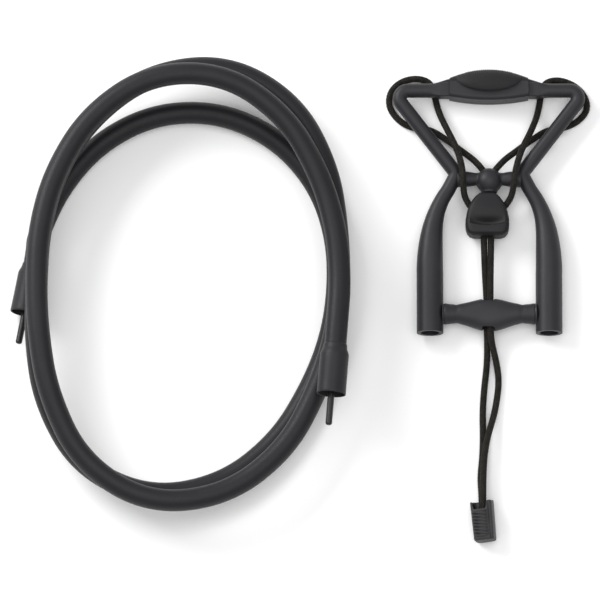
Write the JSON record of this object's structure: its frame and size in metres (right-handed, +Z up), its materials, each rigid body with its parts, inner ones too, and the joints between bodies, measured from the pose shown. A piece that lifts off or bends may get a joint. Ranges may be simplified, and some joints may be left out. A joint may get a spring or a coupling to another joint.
{
  "type": "bicycle antenna kit",
  "caption": "Hourglass bicycle yoke lashed on by shock cord, with a coiled rubber hoop rod whose ends plug into its legs to keep a dog's line off the wheel.",
  "frame": {"origin": "on the floor under the middle of the yoke", "axes": "+X to the right across the yoke, +Y from the leg mouths to the top pad, +Z up from the floor"},
  "size_m": [0.3487, 0.2943, 0.0479],
  "materials": {
    "moulded_nylon": "moulded, fine matte grain",
    "bush_plastic": "smooth black",
    "pad_rubber": "soft matte rubber",
    "lock_plastic": "moulded, fine matte grain",
    "tab_plastic": "moulded, ribbed",
    "steel": "plain",
    "cord_braid": "braided sheath",
    "hose_rubber": "matte rubber sleeve",
    "cuff_rubber": "matte moulded rubber",
    "core_rod": "smooth glass-fibre rod"
  },
  "bodies": {
    "yoke": {"left_rail": "moulded_nylon", "right_rail": "moulded_nylon", "left_bush": "bush_plastic", "right_bush": "bush_plastic", "top_cradle": "moulded_nylon", "top_pad": "pad_rubber", "seam_pins": "steel", "pad_screws": "steel", "waist_bridge": "moulded_nylon", "lower_bridge": "moulded_nylon", "cord_corner_left": "cord_braid", "cord_corner_right": "cord_braid", "cord_turn": "cord_braid", "cord_strand_left": "cord_braid", "cord_strand_right": "cord_braid", "cord_tail_left": "cord_braid", "cord_tail_right": "cord_braid", "cord_knot": "cord_braid", "tab_front": "tab_plastic", "tab_back": "tab_plastic"},
    "lock": {"lock_base": "lock_plastic", "lock_pin": "steel", "lock_spring": "steel"},
    "lever": {"lock_lever": "lock_plastic"},
    "hoop": {"hoop_coil": "hose_rubber", "hoop_cuff_left": "cuff_rubber", "hoop_cuff_right": "cuff_rubber", "hoop_core_left": "core_rod", "hoop_core_right": "core_rod"}
  },
  "joints": [
    {"name": "lock_slide", "type": "slide", "parent": "yoke", "child": "lock", "axis": [0, -1, 0], "range_m": [0, 0.03], "deforming": ["cord_strand_left", "cord_strand_right", "cord_tail_left", "cord_tail_right"]},
    {"name": "lock_lever_hinge", "type": "hinge", "parent": "lock", "child": "lever", "pos_m": [-0.0012, 0.0023, 0.012], "axis": [-1, 0, 0], "range_deg": [0, 30], "stiffness_Nm_per_rad": 0.02, "springref_deg": -11.46},
    {"name": "hoop_lift", "type": "slide", "parent": "yoke", "child": "hoop", "axis": [0, 0, 1], "range_m": [0, 0.12]}
  ]
}
